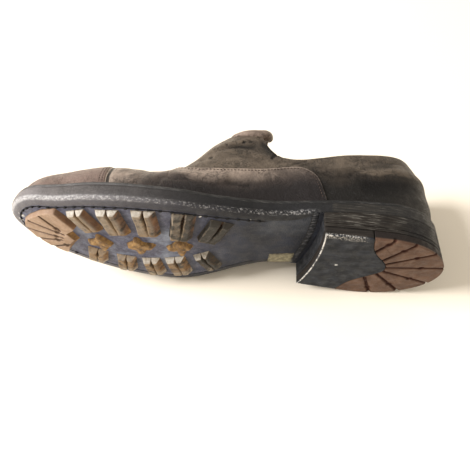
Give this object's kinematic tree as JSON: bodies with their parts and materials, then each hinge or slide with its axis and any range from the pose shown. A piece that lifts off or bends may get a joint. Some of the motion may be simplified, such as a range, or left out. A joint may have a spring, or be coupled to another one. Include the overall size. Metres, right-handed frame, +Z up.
{
  "type": "left cap-toe town shoe",
  "caption": "Left low-cut leather shoe with a toe cap, a rolled tongue, a stitched leather sole with rubber lugs set in and a stacked heel, lying on its inner side.",
  "frame": {"origin": "middle of the box's footprint, on the floor", "axes": "+X from toe to heel, +Y from sole to collar, +Z up from the floor to the outer side of the shoe"},
  "size_m": [0.3204, 0.124, 0.115],
  "materials": {
    "upper_leather": "worn, slightly waxed",
    "vamp_leather": "worn, slightly waxed",
    "cap_leather": "worn, slightly waxed",
    "tongue_leather": "matt",
    "insole_leather": "matt",
    "welt_leather": "matt",
    "sole_leather": "worn, matt",
    "heel_leather": "worn, matt",
    "top_leather": "worn, matt",
    "tread_rubber": "worn, matt",
    "heel_rubber": "worn, matt"
  },
  "bodies": {
    "root": {"upper": "upper_leather", "vamp": "vamp_leather", "toe_cap": "cap_leather", "tongue": "tongue_leather", "insole": "insole_leather", "welt": "welt_leather", "outsole": "sole_leather", "toe_tread": "tread_rubber", "lug_outer_1": "tread_rubber", "lug_outer_2": "tread_rubber", "lug_outer_3": "tread_rubber", "lug_outer_4": "tread_rubber", "lug_outer_5": "tread_rubber", "lug_inner_1": "tread_rubber", "lug_inner_2": "tread_rubber", "lug_inner_3": "tread_rubber", "lug_inner_4": "tread_rubber", "lug_inner_5": "tread_rubber", "lug_centre_1": "tread_rubber", "lug_centre_2": "tread_rubber", "lug_centre_3": "tread_rubber", "heel_lift_1": "heel_leather", "heel_lift_2": "heel_leather", "heel_top_leather": "top_leather", "heel_top_rubber": "heel_rubber"}
  },
  "joints": []
}
